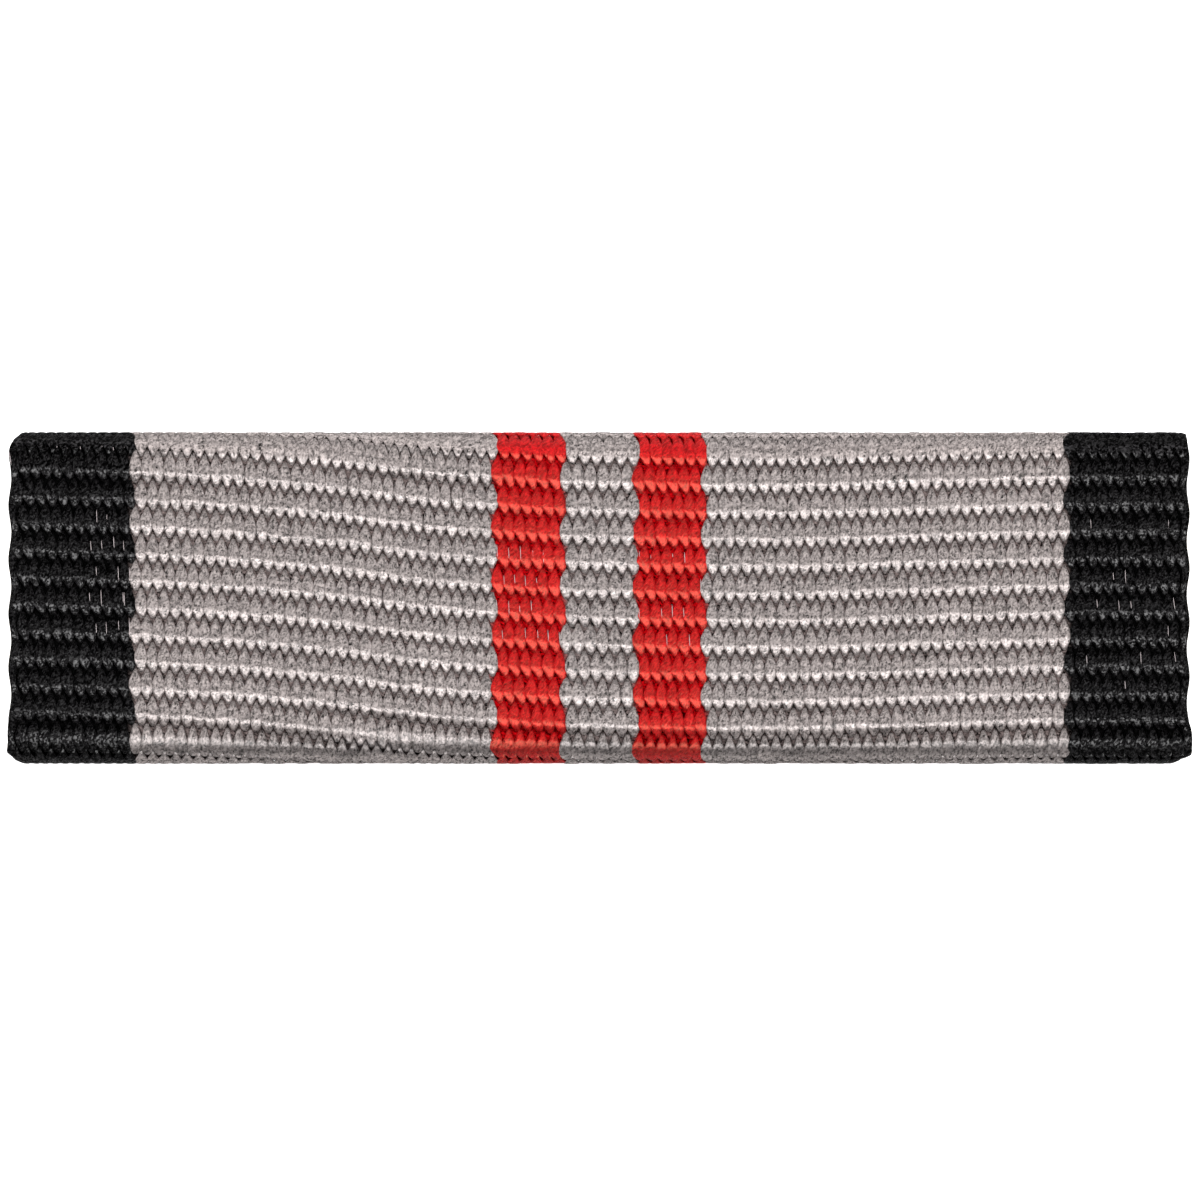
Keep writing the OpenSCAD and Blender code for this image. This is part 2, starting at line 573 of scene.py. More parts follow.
def warp_rows(name, first_end, ends, cloth):
    """Weaves the ends of one band in the flat, where each vertex keeps its place in its own repeat."""
    pitch = cloth.rib_pitch
    end_pitch = RIBBON_W / ENDS
    thickness = cloth.yarn_thickness
    swing = CLOTH_T / 2 - thickness / 2
    parts = []
    for start in (0, 1):
        count = (ends - start + 1) // 2
        end = first_end + start
        over_first = end % 2 == 0
        piece = model_repeat(name, pitch, over_first, 2 * end_pitch, swing, CLOTH_T / 2, thickness)
        local = vertices_of(piece)
        note = piece.data.attributes.new("local", "FLOAT_VECTOR", "POINT")
        note.data.foreach_set("vector", local.ravel().astype(np.float32))
        repeat(piece, cloth.ribs_each_way, (0, 2 * pitch, 0))
        repeat(piece, count, (2 * end_pitch, 0, 0))
        centre = (end + 0.5) * end_pitch - RIBBON_W / 2
        points = vertices_of(piece)
        points[:, 0] += centre
        points[:, 1] -= cloth.ribs_each_way * pitch
        place_vertices(piece, points)
        parts.append(piece)
    only(parts[0])
    parts[1].select_set(True)
    bpy.ops.object.join()
    piece = parts[0]
    piece.name = name
    close_tubes(piece)
    return piece


# Way round a yarn and the place of a cut end past its last rib in mm, and the margins of its strip in the
# bake as shares of the strip
YARN_GIRTH, CUT_LENGTH = 0.75, 0.1
SIDE_MARGIN, END_MARGIN = 0.03, 0.002


def lay_yarn_maps(piece, end, share, along, ends, first_end, length):
    """Gives the yarns two UV maps: their own surface in mm, and one strip each for a bake."""
    mesh = piece.data
    corners = numbers_of(mesh.loops, "vertex_index")
    sizes = numbers_of(mesh.polygons, "loop_total")
    face = np.repeat(np.arange(len(sizes)), sizes)
    turn = share[corners]
    high = np.zeros(len(sizes))
    np.maximum.at(high, face, turn)
    low = np.ones(len(sizes))
    np.minimum.at(low, face, turn)
    crossing = (high - low > 0.5)[face] & (turn < 0.5)
    # A cut end is the only face with more than four corners, and is an ellipse past the end of its strip
    cut = (sizes > 4)[face]
    angle = 2 * math.pi * turn
    turn = np.where(cut, 0.5 + 0.4 * np.sin(angle), turn + crossing)
    past = np.where(cut, np.sign(along[corners]) * (1 + 0.7 * np.cos(angle)), 0)
    in_mm = np.column_stack((turn * YARN_GIRTH, along[corners] / MM + CUT_LENGTH * past))
    lay_map(piece, "Yarn", in_mm)
    across = (end[corners] - first_end + SIDE_MARGIN + (1 - 2 * SIDE_MARGIN) * turn) / ends
    lengthwise = 0.5 + along[corners] / length * (1 - 2 * END_MARGIN) + END_MARGIN / 2 * past
    lay_map(piece, "OFBake", np.column_stack((across, lengthwise)))
    mesh.uv_layers.active = mesh.uv_layers["Yarn"]


# Thickness of a yarn against its width, for the way round it, and how far a place is rounded, in ribs
YARN_FLATNESS, ROUNDING = 0.3, 1e-4


def weave_band(name, first_end, ends, lean, cloth):
    """Makes the yarns of one band and wraps them on the plate."""
    pitch = cloth.rib_pitch
    end_pitch = RIBBON_W / ENDS
    piece = warp_rows(name, first_end, ends, cloth)
    note = piece.data.attributes["local"]
    local = numbers_of(note.data, "vector", np.float32, 3).reshape(-1, 3)
    piece.data.attributes.remove(note)
    points = vertices_of(piece)
    end = np.rint((points[:, 0] - local[:, 0] + RIBBON_W / 2) / end_pitch - 0.5).astype(int)
    ribs = cloth.ribs_each_way
    along = points[:, 1] / pitch + ribs
    rib = np.clip(np.floor(along + ROUNDING).astype(int), 0, 2 * ribs - 1)
    from_crest = along - rib - 0.5
    over = (end + rib) % 2 == 0
    window = np.cos(math.pi * np.clip(from_crest, -0.5, 0.5)) ** 2
    rng = np.random.default_rng(cloth.seed)
    chance = rng.normal(size=(5, ENDS, 2 * ribs)).clip(-2, 2) * cloth.unevenness
    push, girth, lift, slant, slip = chance[:, end, rib]
    middle = points[:, 0] - local[:, 0]
    crest = CLOTH_T / 2 - cloth.yarn_thickness / 2
    places, heights, widths, _, painted_light_share = np.array(FLOAT_TABLE).T
    from_top = (along - np.where(end % 2 == 0, 0.5, 1.5) + 1) % 2 - 1
    ring_height = np.interp(from_top, places, heights)
    ring_middle = CLOTH_T / 2 + crest * ring_height
    s = place_along(spread(middle), points[:, 1], pitch)
    tight = tightness_at(s)
    outermost = (end == 0) | (end == ENDS - 1)
    new_height = float_height(ring_height, s)
    held_up = np.maximum(new_height, 1 - (1 - ring_height) * (1 - tight))
    new_height = np.where(outermost, held_up, new_height)
    raised = (new_height - ring_height) * crest + FOLD_RISE * tight
    leaning = np.interp(from_top, *np.array(LEAN_TABLE).T)
    slope = (lean + SLANT * slant) * 2 * end_pitch * leaning
    across = local[:, 0] * (1 + GIRTH * girth * window + FOLD_SPREAD * tight)
    across = np.where(outermost, across * OUTERMOST_WIDTH / np.interp(from_top, places, widths), across)
    height = points[:, 2] + raised + over * (LIFT * (lift - LEVEL_LIFT) * window)
    sideways = middle + across + slope + PUSH * push * window
    flat = np.column_stack((
        sideways.clip(-RIBBON_W / 2, RIBBON_W / 2),
        points[:, 1] + SLIP * slip * window,
        height.clip(0, CLOTH_T + FOLD_RISE),
    ))
    # Share round the yarn, with 0 at its underside
    below = (ring_middle - points[:, 2]) / (YARN_FLATNESS * end_pitch)
    share = (np.arctan2(local[:, 0] / end_pitch, below) / (2 * math.pi)) % 1
    # A float's tone is half its own and half its end's
    give_numbers(piece, "tone", (push + chance[2][end, 0]) / 2)
    # Painted shade along each float and round the lower fold, which darkens the yarn's colour
    give_numbers(piece, "painted_light_share", np.interp(from_top, places, painted_light_share) * (1 - painted_fold_shade_at(s)))
    length = 2 * ribs * pitch
    lay_yarn_maps(piece, end, share, points[:, 1], ends, first_end, length)
    place_vertices(piece, wrap(flat, pitch))
    return piece


# The weft at a selvedge: its radius where it turns, the share left between turns, and its rings to a rib
WEFT_R, WEFT_SHARE, WEFT_RINGS = 0.13 * MM, 0.86, 6


def selvedge_cords(cloth):
    """Makes the two rounded edges of the ribbon, where the weft turns round its outermost ends."""
    pitch = cloth.rib_pitch
    ribs = cloth.ribs_each_way
    step = pitch / WEFT_RINGS
    length = 2 * ribs * pitch
    axis_x = RIBBON_W / 2 - WEFT_R
    sides = []
    for side in (-1, 1):
        bpy.ops.object.select_all(action="DESELECT")
        bpy.ops.mesh.primitive_circle_add(
            vertices=len(SECTION),
            radius=WEFT_R,
            fill_type="NOTHING",
            location=(side * axis_x, -length / 2, CLOTH_T / 2),
            rotation=(math.pi / 2, 0, 0),
        )
        piece = bpy.context.object
        bpy.ops.object.transform_apply(location=True, rotation=True, scale=True)
        bpy.ops.object.mode_set(mode="EDIT")
        bpy.ops.mesh.select_all(action="SELECT")
        bpy.ops.mesh.extrude_region_move(TRANSFORM_OT_translate={"value": (0, step, 0)})
        bpy.ops.object.mode_set(mode="OBJECT")
        repeat(piece, 2 * ribs * WEFT_RINGS, (0, step, 0))
        close_tubes(piece)
        sides.append(piece)
    only(sides[0])
    sides[1].select_set(True)
    bpy.ops.object.join()
    piece = sides[0]
    piece.name = "selvedge_wefts"
    piece.data.name = "selvedge_wefts"
    points = vertices_of(piece)
    side = np.sign(points[:, 0])
    out = points[:, 0] - side * axis_x
    up = points[:, 2] - CLOTH_T / 2
    share = (np.arctan2(out, -up) / (2 * math.pi)) % 1
    loop = np.abs(np.cos(math.pi / 2 * (points[:, 1] / pitch + np.where(side > 0, 0.5, 1.5))))
    slim = WEFT_SHARE + (1 - WEFT_SHARE) * loop
    flat = np.column_stack((side * axis_x + out * slim, points[:, 1], CLOTH_T / 2 + up * slim))
    # Each turn has its own tone, and painted shade darkens the stretch between two turns more than the turns
    give_numbers(piece, "tone", 0.4 * np.sin(points[:, 1] / pitch * 5.3 + side))
    give_numbers(piece, "painted_light_share", 0.5 + 0.4 * loop)
    lay_yarn_maps(piece, (side > 0).astype(int), share, points[:, 1], 2, 0, length)
    place_vertices(piece, wrap(flat, pitch))
    return piece


# A clear filament's width, thickness and slant, and how far it and the loose one stand out
FILAMENT_W, FILAMENT_T, FILAMENT_SLANT = 0.018 * MM, 0.03 * MM, 0.02 * MM
FILAMENT_RISE, LOOSE_RISE = 0.03 * MM, 0.02 * MM
# How far one strays by chance: sideways, and along as a share of a rib
STRAY_X, STRAY_RIBS = 0.02 * MM, 0.06
# The loose filament: [distance in from the left selvedge, start and end in ribs above the middle]
LOOSE_FILAMENT = (0.03 * MM, 4.86, 4.40)


def clear_filaments(cloth):
    """Makes the short clear filaments that glint between some of the floats, and one that has come loose."""
    pitch = cloth.rib_pitch
    end_pitch = RIBBON_W / ENDS
    rng = np.random.default_rng(cloth.seed + 1)
    places = []
    for first, last, low_rib, high_rib, share, start, stop in GLINTS:
        for rib in range(low_rib, high_rib + 1):
            for end in range(first, last + 1):
                if (end + rib + cloth.ribs_each_way) % 2 and rng.random() < share:
                    x = (end + 0.5) * end_pitch - RIBBON_W / 2 + rng.normal() * STRAY_X
                    starts = rib + 0.5 + start + rng.normal() * STRAY_RIBS
                    stops = rib + 0.5 + stop + rng.normal() * STRAY_RIBS
                    places.append((x, starts, stops, 0))
    set_in, starts, stops = LOOSE_FILAMENT
    places.append((set_in - RIBBON_W / 2, starts, stops, 1))
    bpy.ops.object.select_all(action="DESELECT")
    bpy.ops.mesh.primitive_cylinder_add(
        vertices=6, radius=0.5, depth=0.5, location=(0, 0, 0), rotation=(math.pi / 2, 0, 0)
    )
    piece = bpy.context.object
    piece.name = "clear_filaments"
    piece.data.name = "clear_filaments"
    bpy.ops.object.transform_apply(location=True, rotation=True, scale=True)
    # The last quarter at each end tapers
    bpy.ops.object.mode_set(mode="EDIT")
    for side in (-1, 1):
        bpy.ops.mesh.select_all(action="DESELECT")
        bpy.ops.object.mode_set(mode="OBJECT")
        for face in piece.data.polygons:
            face.select = face.normal.y * side > 0.9
        bpy.ops.object.mode_set(mode="EDIT")
        bpy.ops.mesh.extrude_region_move(TRANSFORM_OT_translate={"value": (0, side * 0.25, 0)})
        bpy.ops.transform.resize(value=(0.3, 1, 0.3), center_override=(0, side * 0.5, 0))
    bpy.ops.object.mode_set(mode="OBJECT")
    one = vertices_of(piece)
    repeat(piece, len(places), (0, 0, 1.0))
    points = vertices_of(piece).reshape(len(places), len(one), 3)
    at, heights = np.array(FLOAT_TABLE).T[:2]
    swing = CLOTH_T / 2 - cloth.yarn_thickness / 2
    for number, (x, start, stop, loose) in enumerate(places):
        along = (start + stop) / 2 + one[:, 1] * (start - stop)
        from_crest = along % 1 - 0.5
        s = place_along(spread(np.array([x])), along * pitch, pitch)
        height = CLOTH_T / 2 + float_height(np.interp(from_crest, at, heights), s) * swing + FILAMENT_RISE
        height = np.where(loose, CLOTH_T + LOOSE_RISE, height)
        points[number, :, 0] = x + one[:, 0] * FILAMENT_W - one[:, 1] * FILAMENT_SLANT
        points[number, :, 1] = along * pitch
        points[number, :, 2] = height + one[:, 2] * FILAMENT_T
    place_vertices(piece, wrap(points.reshape(-1, 3), pitch))
    return piece


# The weft ground: how far it is set in from the cloth's edges, its columns, and its rows to a rib
GROUND_INSET, GROUND_COLUMNS, GROUND_ROWS = 0.10 * MM, 161, 6
# Its room inside the floats, its height over the crossing of the ends, and its least thickness
FLOAT_ROOM, OVER_CROSSING, LEAST_GROUND = 0.03 * MM, 0.004 * MM, 0.008 * MM


def weft_ground(cloth):
    """Makes the weft as one ribbed sheet, which fills the floats and stays below them in the grooves."""
    pitch = cloth.rib_pitch
    ribs = cloth.ribs_each_way
    width = RIBBON_W - 2 * GROUND_INSET
    length = 2 * ribs * pitch - 2 * GROUND_INSET
    bpy.ops.object.select_all(action="DESELECT")
    bpy.ops.mesh.primitive_grid_add(
        x_subdivisions=GROUND_COLUMNS - 1,
        y_subdivisions=2 * ribs * GROUND_ROWS,
        size=1,
        location=(0, 0, 0),
    )
    piece = bpy.context.object
    piece.name = "ribbon_ground"
    piece.data.name = "ribbon_ground"
    bpy.ops.object.mode_set(mode="EDIT")
    bpy.ops.mesh.select_all(action="SELECT")
    bpy.ops.transform.resize(value=(width, length, 1))
    bpy.ops.mesh.extrude_region_move(TRANSFORM_OT_translate={"value": (0, 0, 1.0)})
    bpy.ops.mesh.select_all(action="SELECT")
    bpy.ops.mesh.normals_make_consistent(inside=False)
    bpy.ops.object.mode_set(mode="OBJECT")
    points = vertices_of(piece)
    from_crest = np.abs((points[:, 1] / pitch + ribs) % 1 - 0.5)
    places, heights = np.array(FLOAT_TABLE).T[:2]
    s = place_along(spread(points[:, 0]), points[:, 1], pitch)
    swing = CLOTH_T / 2 - cloth.yarn_thickness / 2
    sunk = np.minimum(float_height(CROSSING, s), CROSSING) * swing
    yarn = cloth.yarn_thickness / 2 + FLOAT_ROOM
    high = np.interp(from_crest, places, heights) * swing - yarn
    low = np.interp(1 - from_crest, places, heights) * swing + yarn
    upper = np.maximum(high - (CROSSING * swing - sunk) * from_crest * 2, sunk + OVER_CROSSING)
    lower = np.minimum(low, upper - LEAST_GROUND)
    flat = points.copy()
    flat[:, 2] = CLOTH_T / 2 + np.where(points[:, 2] > 0.5, upper, lower)
    place_vertices(piece, wrap(flat, pitch))
    end = ((flat[:, 0] / RIBBON_W + 0.5) * ENDS).astype(int)
    # Each end's stretch of weft takes its band's darkened colour, painted shade for the pits between the
    # yarns
    pit_shade_colours = np.array([(*GROUND_PIT_SHADES[band[2]], 1.0) for band in BANDS for _ in range(band[1])])
    pit_shade_colour = piece.data.attributes.new("pit_shade_colour", "FLOAT_COLOR", "POINT")
    pit_shade_colour.data.foreach_set("color", pit_shade_colours[end.clip(0, ENDS - 1)].ravel().astype(np.float32))
    corners = numbers_of(piece.data.loops, "vertex_index")
    lay_map(piece, "Yarn", flat[corners][:, (1, 0)] / MM)
    return piece


# Materials


def fresh_material(name):
    """A new material with nothing in it but an output and a Principled shader."""
    material = bpy.data.materials.new(name)
    material.use_nodes = True
    tree = material.node_tree
    tree.nodes.clear()
    output = tree.nodes.new("ShaderNodeOutputMaterial")
    shader = tree.nodes.new("ShaderNodeBsdfPrincipled")
    tree.links.new(shader.outputs["BSDF"], output.inputs["Surface"])
    return material, tree, shader


def fill_sockets(tree, node, sockets):
    """Fills or links a node's sockets."""
    for key, value in dict(sockets).items():
        if isinstance(value, bpy.types.NodeSocket):
            tree.links.new(value, node.inputs[key])
        else:
            node.inputs[key].default_value = value


def add_node(tree, kind, sockets=(), **settings):
    """Adds a node, sets its settings, and fills or links its sockets."""
    made = tree.nodes.new(kind)
    for key, value in settings.items():
        setattr(made, key, value)
    fill_sockets(tree, made, sockets)
    return made


def add_math(tree, operation, *values, **settings):
    """Adds a Math node with its values or links in order, and returns its output."""
    made = add_node(tree, "ShaderNodeMath", enumerate(values), operation=operation, **settings)
    return made.outputs[0]


def add_noise(tree, place, scale, detail):
    """Adds noise at a place and returns its strength."""
    sockets = {"Vector": place, "Scale": scale, "Detail": detail, "Roughness": 0.6}
    return add_node(tree, "ShaderNodeTexNoise", sockets).outputs["Fac"]


def add_range(tree, value, sockets):
    """Adds a Map Range node for a value and returns its result."""
    return add_node(tree, "ShaderNodeMapRange", {"Value": value, **sockets}).outputs[0]


def add_mix(tree, share, first, second):
    """Mixes two colours by a share and returns the mixed one."""
    made = add_node(tree, "ShaderNodeMix", {"Factor": share, 6: first, 7: second}, data_type="RGBA")
    return made.outputs[2]


# Streaks and specks per mm: round the yarn, along it, and from tone to tone
STREAKS_PER_MM = (21.0, 8.0, 1.0)
SPECKS_PER_MM = (27.0, 22.0, 1.0)


def filament_group():
    """The look of a yarn's filaments: fine streaks along the yarn that swing its colour and its height, and
    painted shade that darkens its colour where its painted light share is low.
    """
    found = bpy.data.node_groups.get("Filaments")
    if found:
        return found
    group = bpy.data.node_groups.new("Filaments", "ShaderNodeTree")
    for name, kind, default in (
        ("Surface", "NodeSocketVector", None),
        ("Colour", "NodeSocketColor", (0.5, 0.5, 0.5, 1)),
        ("Tone", "NodeSocketFloat", 0.0),
        ("PaintedLight", "NodeSocketFloat", 1.0),
        ("Twist", "NodeSocketFloat", 0.2),
        ("Contrast", "NodeSocketFloat", 0.3),
        ("Shade", "NodeSocketFloat", 0.5),
        ("Falloff", "NodeSocketFloat", 1.0),
        ("Lustre", "NodeSocketFloat", 0.5),
    ):
        socket = group.interface.new_socket(name=name, in_out="INPUT", socket_type=kind)
        if default is not None:
            socket.default_value = default
    for name, kind in (
        ("Colour", "NodeSocketColor"),
        ("Height", "NodeSocketFloat"),
        ("Roughness", "NodeSocketFloat"),
        ("Coat", "NodeSocketFloat"),
    ):
        group.interface.new_socket(name=name, in_out="OUTPUT", socket_type=kind)
    way_in = group.nodes.new("NodeGroupInput").outputs
    way_out = group.nodes.new("NodeGroupOutput").inputs
    split = add_node(group, "ShaderNodeSeparateXYZ", {"Vector": way_in["Surface"]}).outputs
    turned = add_math(group, "MULTIPLY_ADD", split["Y"], way_in["Twist"], split["X"])
    # Every tone has streaks of its own
    apart = add_math(group, "MULTIPLY", way_in["Tone"], 13.0)
    place = add_node(group, "ShaderNodeCombineXYZ", {"X": turned, "Y": split["Y"], "Z": apart})
    streak_place, speck_place = (
        add_node(group, "ShaderNodeVectorMath", {0: place.outputs[0], 1: scale}, operation="MULTIPLY")
        for scale in (STREAKS_PER_MM, SPECKS_PER_MM)
    )
    streaks = add_noise(group, streak_place.outputs[0], 1.0, 2.0)
    specks = add_node(group, "ShaderNodeTexVoronoi", {"Vector": speck_place.outputs[0], "Scale": 1.0})
    speck = add_node(group, "ShaderNodeSeparateXYZ", {"Vector": specks.outputs["Color"]})
    grain = add_math(group, "MULTIPLY_ADD", speck.outputs["X"], 0.5, 0.25)
    both = add_math(group, "ADD", streaks, grain)
    centred = add_math(group, "SUBTRACT", both, 1.0)
    swing = add_math(group, "MULTIPLY", centred, way_in["Contrast"])
    toned = add_math(group, "MULTIPLY_ADD", way_in["Tone"], 0.05, swing)
    lifted = add_math(group, "ADD", toned, 1.0)
    # Painted shade: the colour falls towards Shade as the painted light share drops
    painted_light = add_math(group, "POWER", way_in["PaintedLight"], way_in["Falloff"], use_clamp=True)
    shade = add_range(group, painted_light, {"To Min": way_in["Shade"], "To Max": 1.0})
    value = add_math(group, "MULTIPLY", lifted, shade)
    coloured = add_node(
        group, "ShaderNodeVectorMath", {0: way_in["Colour"], "Scale": value}, operation="SCALE"
    )
    rough = add_range(group, streaks, {"From Min": 0.3, "From Max": 0.7, "To Min": 0.22, "To Max": 0.36})
    coat = add_range(group, both, {"From Min": 1.0, "From Max": 1.24, "To Max": way_in["Lustre"]})
    group.links.new(coat, way_out["Coat"])
    group.links.new(coloured.outputs[0], way_out["Colour"])
    group.links.new(both, way_out["Height"])
    group.links.new(rough, way_out["Roughness"])
    return group


# The filaments of each yarn: [twist, contrast, painted shade where it is hidden, falloff of the painted
# shade, lustre]
FILAMENT_NAMES = ("Twist", "Contrast", "Shade", "Falloff", "Lustre")
FILAMENTS = {
    "grey": (0.12, 2.4, 0.42, 1.0, 0.30),
    "red": (0.40, 1.5, 0.56, 1.0, 0.02),
    "black": (0.20, 9.0, 0.25, 3.0, 1.0),
}
# The finish of each yarn: [metallic, gloss, tint of the gloss, height of the filaments in mm]
YARN_FINISHES = {
    "grey": (0.20, 0.66, (1.0, 0.97, 0.96), 0.017),
    "red": (0.12, 1.0, (1.0, 0.42, 0.27), 0.024),
    "black": (0.0, 0.06, (1.0, 0.97, 1.0), 0.06),
}


def yarn_material(colour_name, colour):
    """The material of one dyed yarn."""
    found = bpy.data.materials.get(f"{colour_name}_yarn")
    if found:
        return found
    looks = dict(zip(FILAMENT_NAMES, FILAMENTS[colour_name]))
    metallic, gloss, tint, relief = YARN_FINISHES[colour_name]
    material, tree, shader = fresh_material(f"{colour_name}_yarn")
    sockets = {
        "Surface": add_node(tree, "ShaderNodeUVMap", uv_map="Yarn").outputs["UV"],
        "Tone": add_node(tree, "ShaderNodeAttribute", attribute_name="tone").outputs["Fac"],
        "PaintedLight": add_node(tree, "ShaderNodeAttribute", attribute_name="painted_light_share").outputs["Fac"],
        "Colour": (*colour, 1),
        **looks,
    }
    filaments = add_node(tree, "ShaderNodeGroup", sockets, node_tree=filament_group()).outputs
    bump = add_node(
        tree, "ShaderNodeBump", {"Height": filaments["Height"], "Strength": 1.0, "Distance": relief * MM}
    )
    tangent = add_node(tree, "ShaderNodeTangent", direction_type="UV_MAP", uv_map="Yarn")
    finish = {
        "Base Color": filaments["Colour"],
        "Roughness": filaments["Roughness"],
        "Normal": bump.outputs["Normal"],
        "Tangent": tangent.outputs["Tangent"],
        "Coat Weight": filaments["Coat"],
        "Coat Roughness": 0.3,
        "Anisotropic": 0.6,
        "Anisotropic Rotation": looks["Twist"] * 0.12,
        "Metallic": metallic,
        "Specular IOR Level": gloss,
        "Specular Tint": (*tint, 1),
    }
    fill_sockets(tree, shader, finish)
    return material


def clear_material():
    """Clear filament, whose glint is painted into its pale colour."""
    material, tree, shader = fresh_material("clear_filament_painted_glint")
    place = add_node(tree, "ShaderNodeTexCoord").outputs["Object"]
    cloud = add_noise(tree, place, 4000.0, 2.0)
    # The pale colour is a painted glint, clouded with a darker one
    finish = {
        "Base Color": add_mix(tree, cloud, (0.30, 0.24, 0.25, 1), (0.80, 0.72, 0.72, 1)),
        "Roughness": 0.3,
        "Specular IOR Level": 0.7,
    }
    fill_sockets(tree, shader, finish)
    return material


def ground_material():
    """The weft, in each band's colour darkened to the painted shade that shows between the yarns."""
    material, tree, shader = fresh_material("weft_ground")
    sockets = {
        "Surface": add_node(tree, "ShaderNodeUVMap", uv_map="Yarn").outputs["UV"],
        "Colour": add_node(tree, "ShaderNodeAttribute", attribute_name="pit_shade_colour").outputs["Color"],
        "Contrast": 4.0,
    }
    filaments = add_node(tree, "ShaderNodeGroup", sockets, node_tree=filament_group()).outputs
    finish = {"Base Color": filaments["Colour"], "Roughness": 0.9, "Specular IOR Level": 0.0}
    fill_sockets(tree, shader, finish)
    return material


def brass_material(colour):
    """Rolled brass sheet with fine drawing lines along the bar."""
    material, tree, shader = fresh_material("rolled_brass")
    place = add_node(tree, "ShaderNodeTexCoord").outputs["Object"]
    stretched = add_node(
        tree, "ShaderNodeVectorMath", {0: place, 1: (60.0, 9000.0, 9000.0)}, operation="MULTIPLY"
    )
    lines = add_noise(tree, stretched.outputs[0], 1.0, 3.0)
    clouds = add_noise(tree, place, 350.0, 4.0)
    bump = add_node(tree, "ShaderNodeBump", {"Height": lines, "Strength": 0.35, "Distance": 0.01 * MM})
    wear = {"From Min": 0.3, "From Max": 0.7, "To Min": 0.20, "To Max": 0.40}
    finish = {
        "Base Color": add_mix(tree, clouds, (*colour, 1), (0.80, 0.53, 0.19, 1)),
        "Roughness": add_range(tree, lines, wear),
        "Normal": bump.outputs["Normal"],
        "Metallic": 0.8,
    }
    fill_sockets(tree, shader, finish)
    return material


# Operators


class RIBBONBAR_OT_finish_plate(bpy.types.Operator):
    """Give the slide plate its rolled brass"""

    bl_idname = "ribbonbar.finish_plate"
    bl_label = "Finish the slide plate"

    def execute(self, context):
        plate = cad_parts["slide_plate"]
        material = brass_material(context.scene.ribbon_bar_colours.brass)
        for slot in plate.material_slots:
            slot.material = material
        return {"FINISHED"}


class RIBBONBAR_OT_weave_bands(bpy.types.Operator):
    """Weave the seven bands of the warp and wrap them on the plate"""

    bl_idname = "ribbonbar.weave_bands"
    bl_label = "Weave the warp bands"

    def execute(self, context):
        cloth = context.scene.ribbon_bar_cloth
        colours = context.scene.ribbon_bar_colours
        first_end = 0
        for name, ends, colour_name, slot, lean, _ in BANDS:
            piece = weave_band(name, first_end, ends, lean, cloth)
            material = yarn_material(colour_name, getattr(colours, colour_name))
            finish_piece(piece, material)
            first_end += ends
        return {"FINISHED"}


class RIBBONBAR_OT_edge_selvedges(bpy.types.Operator):
    """Round the two selvedges with the weft that turns there"""

    bl_idname = "ribbonbar.edge_selvedges"
    bl_label = "Edge the selvedges"

    def execute(self, context):
        colours = context.scene.ribbon_bar_colours
        piece = selvedge_cords(context.scene.ribbon_bar_cloth)
        finish_piece(piece, yarn_material("black", colours.black))
        return {"FINISHED"}


class RIBBONBAR_OT_lay_filaments(bpy.types.Operator):
    """Lay the clear filaments that glint beside some of the floats"""

    bl_idname = "ribbonbar.lay_filaments"
    bl_label = "Lay the clear filaments"

    def execute(self, context):
        piece = clear_filaments(context.scene.ribbon_bar_cloth)
        finish_piece(piece, clear_material())
        return {"FINISHED"}


class RIBBONBAR_OT_make_ground(bpy.types.Operator):
    """Make the weft inside the cloth, which the warp floats over, as one ribbed sheet"""

    bl_idname = "ribbonbar.make_ground"
    bl_label = "Make the weft ground"

    def execute(self, context):
        cloth = context.scene.ribbon_bar_cloth
        piece = weft_ground(cloth)
        finish_piece(piece, ground_material())
        return {"FINISHED"}


# The softboxes in metres, [place, width and depth], and the floor's width
GLOSS_BOX = ((0, -0.305, 0.396), (0.95, 0.40))
WINDOW_BOX = ((0, 0.305, 0.53), (1.2, 0.45))
CEILING_BOX = ((0, 0, 0.7), (1.4, 1.4))
FLOOR_W = 1.2
# The middle of the frame, on the front of the bar
AIM = (0.03 * MM, -0.07 * MM, CLOTH_HIGH[2])


class RIBBONBAR_OT_build_stage(bpy.types.Operator):
    """Build the floor, the studio lights and the camera"""

    bl_idname = "ribbonbar.build_stage"
    bl_label = "Build the stage"

    def execute(self, context):
        stage = context.scene.ribbon_bar_stage
        lay_floor(stage.glow)
        gloss = add_softbox("gloss_softbox", *GLOSS_BOX, stage.gloss)
        gloss.visible_diffuse = False
        window = add_softbox("window_softbox", *WINDOW_BOX, stage.window)
        window.visible_glossy = False
        ceiling = add_softbox("ceiling_softbox", *CEILING_BOX, stage.ceiling)
        ceiling.visible_glossy = False
        context.scene.world = white_room(stage.room)
        add_camera(stage)
        context.scene.view_settings.view_transform = "Standard"
        context.scene.view_settings.look = "None"
        return {"FINISHED"}


def lay_floor(glow):
    """Lays the light table that the bar lies on."""
    bpy.ops.object.select_all(action="DESELECT")
    bpy.ops.mesh.primitive_plane_add(size=FLOOR_W, location=(0, 0, 0))
    floor = bpy.context.object
    floor.name = "floor"
    material, tree, shader = fresh_material("pale_floor")
    finish = {
        "Base Color": (0.95, 0.95, 0.95, 1),
        "Roughness": 0.8,
        "Emission Color": (1, 1, 1, 1),
        "Emission Strength": glow,
    }
    fill_sockets(tree, shader, finish)
    floor.data.materials.append(material)
    floor.visible_glossy = False


def white_room(brightness):
    """A room with a brightness of its own for what it lights, and plain white behind the bar."""
    world = bpy.data.worlds.new("studio_room")
    world.use_nodes = True
    tree = world.node_tree
    seen = add_node(tree, "ShaderNodeLightPath").outputs["Is Camera Ray"]
    strength = add_range(tree, seen, {"To Min": brightness, "To Max": 1.0})
    fill_sockets(tree, tree.nodes["Background"], {"Color": (1, 1, 1, 1), "Strength": strength})
    return world


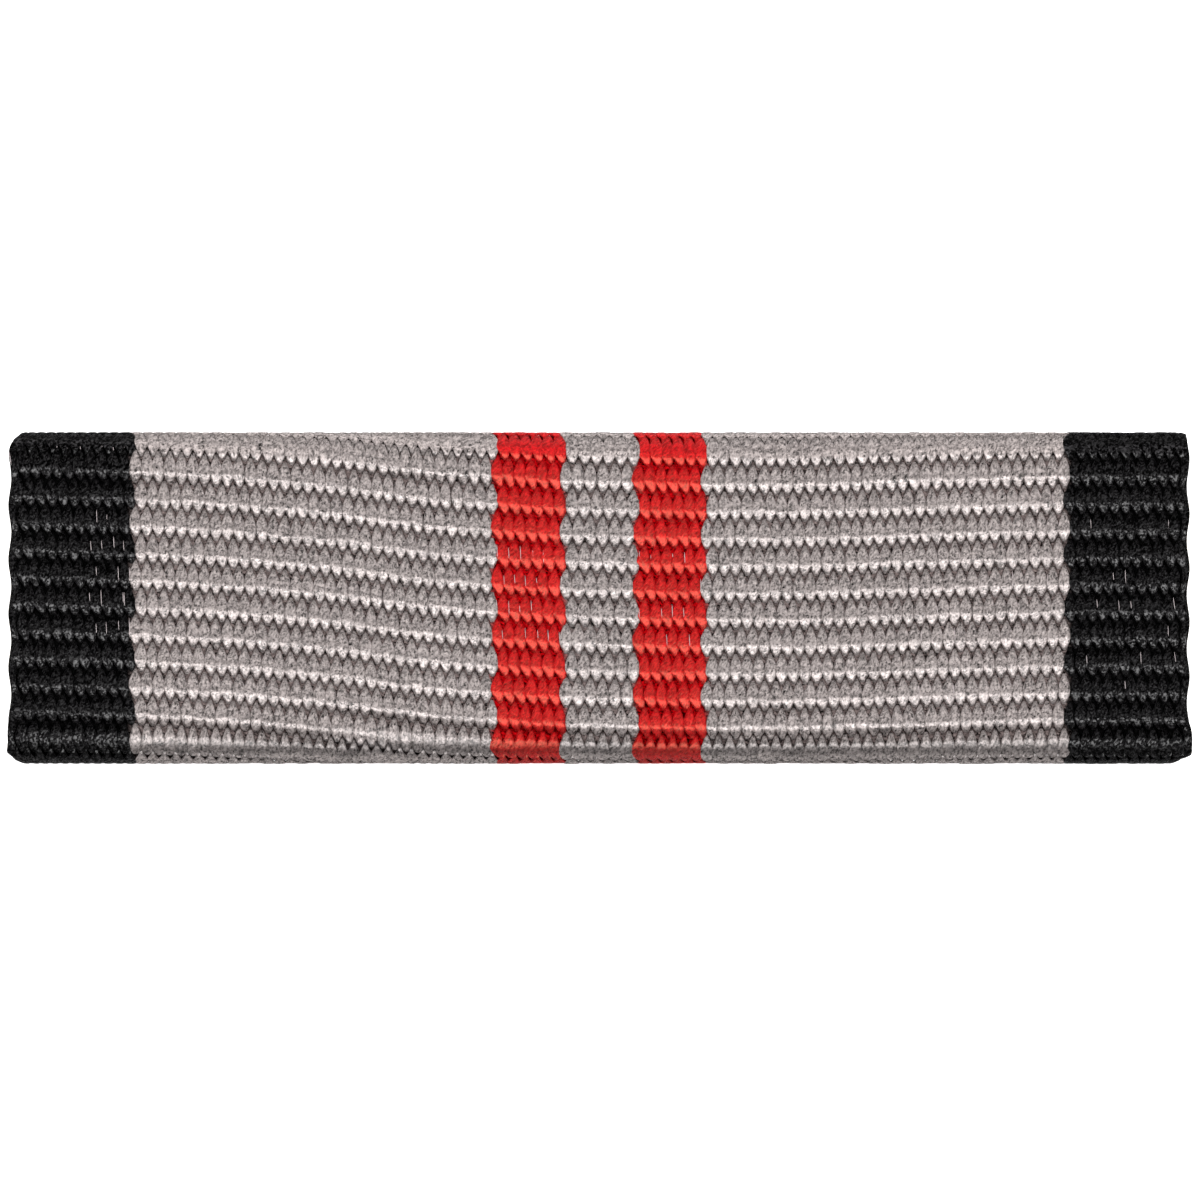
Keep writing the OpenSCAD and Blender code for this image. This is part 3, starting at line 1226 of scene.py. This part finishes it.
def add_softbox(name, place, size, brightness):
    """A rectangular light that faces the bar, with its brightness given as that of its surface."""
    bpy.ops.object.select_all(action="DESELECT")
    bpy.ops.object.light_add(type="AREA", location=place)
    light = bpy.context.object
    light.name = name
    light.data.shape = "RECTANGLE"
    width, depth = size
    light.data.size = width
    light.data.size_y = depth
    light.data.energy = brightness * math.pi * width * depth
    _, y, z = place
    light.rotation_euler = (math.atan2(-y, z), 0, 0)
    return light


def add_camera(stage):
    """The camera at the photograph's angle, with the bar across the middle of the frame."""
    tilt = stage.camera_tilt
    distance = stage.camera_distance
    x, y, z = AIM
    place = (x, y - distance * math.sin(tilt), z + distance * math.cos(tilt))
    bpy.ops.object.select_all(action="DESELECT")
    bpy.ops.object.camera_add(location=place, rotation=(tilt, 0, 0))
    camera = bpy.context.object
    camera.name = "camera"
    sensor = 36
    camera.data.sensor_width = sensor
    camera.data.sensor_fit = "HORIZONTAL"
    camera.data.lens = sensor * distance / stage.frame_width
    camera.data.clip_start = 0.01
    bpy.context.scene.camera = camera


class RIBBONBAR_PT_panel(bpy.types.Panel):
    """Lists the sizes, the colours and the steps of the ribbon bar"""

    bl_label = "Ribbon bar"
    bl_idname = "RIBBONBAR_PT_panel"
    bl_space_type = "VIEW_3D"
    bl_region_type = "UI"
    bl_category = "Ribbon bar"

    def draw(self, context):
        layout = self.layout
        for group in SETTINGS:
            box = layout.box()
            settings = getattr(context.scene, group)
            for name in settings.__annotations__:
                box.prop(settings, name)
        for operator in STEPS:
            layout.operator(operator.bl_idname)


SETTINGS = {
    "ribbon_bar_cloth": RibbonBarCloth,
    "ribbon_bar_colours": RibbonBarColours,
    "ribbon_bar_stage": RibbonBarStage,
}
STEPS = (
    RIBBONBAR_OT_finish_plate,
    RIBBONBAR_OT_weave_bands,
    RIBBONBAR_OT_edge_selvedges,
    RIBBONBAR_OT_lay_filaments,
    RIBBONBAR_OT_make_ground,
    RIBBONBAR_OT_build_stage,
)


def register():
    for group, settings in SETTINGS.items():
        bpy.utils.register_class(settings)
        setattr(bpy.types.Scene, group, PointerProperty(type=settings))
    for step in STEPS:
        bpy.utils.register_class(step)
    bpy.utils.register_class(RIBBONBAR_PT_panel)


def unregister():
    bpy.utils.unregister_class(RIBBONBAR_PT_panel)
    for step in reversed(STEPS):
        bpy.utils.unregister_class(step)
    for group, settings in SETTINGS.items():
        delattr(bpy.types.Scene, group)
        bpy.utils.unregister_class(settings)


def main():
    register()
    bpy.ops.ribbonbar.finish_plate()
    bpy.ops.ribbonbar.weave_bands()
    bpy.ops.ribbonbar.edge_selvedges()
    bpy.ops.ribbonbar.lay_filaments()
    bpy.ops.ribbonbar.make_ground()
    bpy.ops.ribbonbar.build_stage()


if __name__ == "__main__":
    main()
